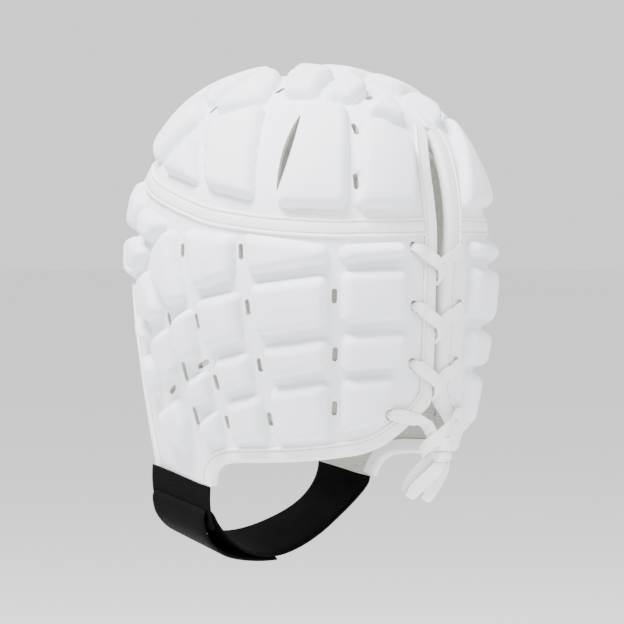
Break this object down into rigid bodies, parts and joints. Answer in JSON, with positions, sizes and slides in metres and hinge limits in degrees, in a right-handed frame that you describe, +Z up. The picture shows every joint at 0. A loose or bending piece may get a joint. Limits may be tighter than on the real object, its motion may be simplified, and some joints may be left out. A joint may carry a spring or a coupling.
{
  "type": "rugby scrum cap",
  "caption": "Soft padded headguard with raised foam blocks, taped seam and edges, a rear slit closed by a flat lace tied in a bow, and a webbing chin strap.",
  "frame": {"origin": "inside of the crown's apex, where the top of a head seats", "axes": "+Z up, the face opening at -Y, the laced slit at +Y, the wearer's left at +X"},
  "size_m": [0.1888, 0.209, 0.2753],
  "materials": {
    "padded_fabric": "matte white knitted fabric over foam",
    "twill_tape": "matte white twill tape with stitch rows",
    "braided_lace": "matte white flat braid",
    "black_webbing": "matte black soft webbing"
  },
  "bodies": {
    "root": {"crown": "padded_fabric", "side_panel": "padded_fabric", "seam_tape": "twill_tape", "binding_left": "twill_tape", "binding_right": "twill_tape", "binding_face": "twill_tape", "lace_left_1": "braided_lace", "lace_right_1": "braided_lace", "lace_left_2": "braided_lace", "lace_right_2": "braided_lace", "lace_left_3": "braided_lace", "lace_right_3": "braided_lace", "tie_left": "braided_lace", "tie_right": "braided_lace", "bow_knot": "braided_lace", "bow_loop_left": "braided_lace", "bow_loop_right": "braided_lace", "chin_tab_left": "black_webbing", "chin_strap": "black_webbing"}
  },
  "joints": []
}
